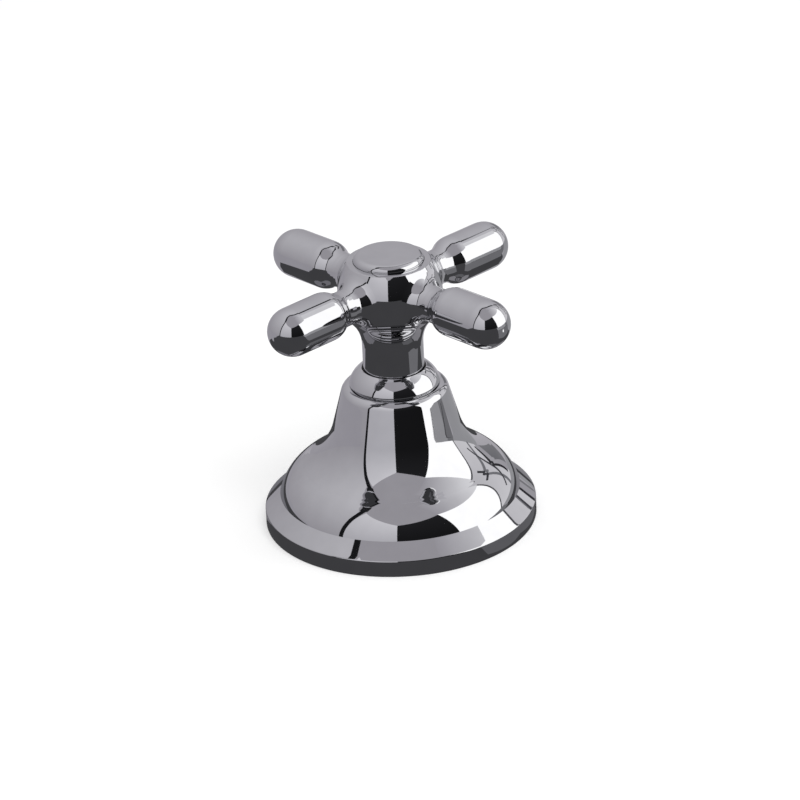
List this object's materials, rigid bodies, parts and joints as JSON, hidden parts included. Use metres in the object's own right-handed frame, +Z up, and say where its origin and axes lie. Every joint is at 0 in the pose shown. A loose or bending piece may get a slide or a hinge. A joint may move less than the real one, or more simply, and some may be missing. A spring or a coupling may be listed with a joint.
{
  "type": "tap handle",
  "caption": "Chrome cross-head tap handle with rounded arms, turning in a bell-shaped deck flange over a collar ring.",
  "frame": {"origin": "centre of the flange's underside, where it meets the deck", "axes": "+Z up along the turning axis of the handle; the arms lie along +X, -X, +Y and -Y at rest"},
  "size_m": [0.0736, 0.0736, 0.0674],
  "materials": {
    "chrome_plate": "bright mirror chrome plate over polished brass",
    "brass": "turned brass",
    "stainless_steel": "turned or stamped stainless steel",
    "acetal": "moulded natural acetal",
    "black_rubber": "moulded nitrile rubber"
  },
  "bodies": {
    "flange": {"bell_flange": "chrome_plate", "deck_seal": "black_rubber", "threaded_sleeve": "brass", "collar_ring": "chrome_plate", "guide_bush": "acetal", "glide_washer": "acetal"},
    "handle": {"cross_handle": "chrome_plate", "neck_o_ring_upper": "black_rubber", "neck_o_ring_lower": "black_rubber", "thrust_washer": "stainless_steel", "retaining_ring": "stainless_steel", "spline_insert": "acetal", "spring_washer": "stainless_steel", "handle_screw": "stainless_steel", "index_cap": "chrome_plate", "cap_o_ring": "black_rubber"}
  },
  "joints": [
    {"name": "handle_turn", "type": "hinge", "parent": "flange", "child": "handle", "pos_m": [0, 0, 0.0587], "axis": [0, 0, 1], "continuous": true}
  ]
}
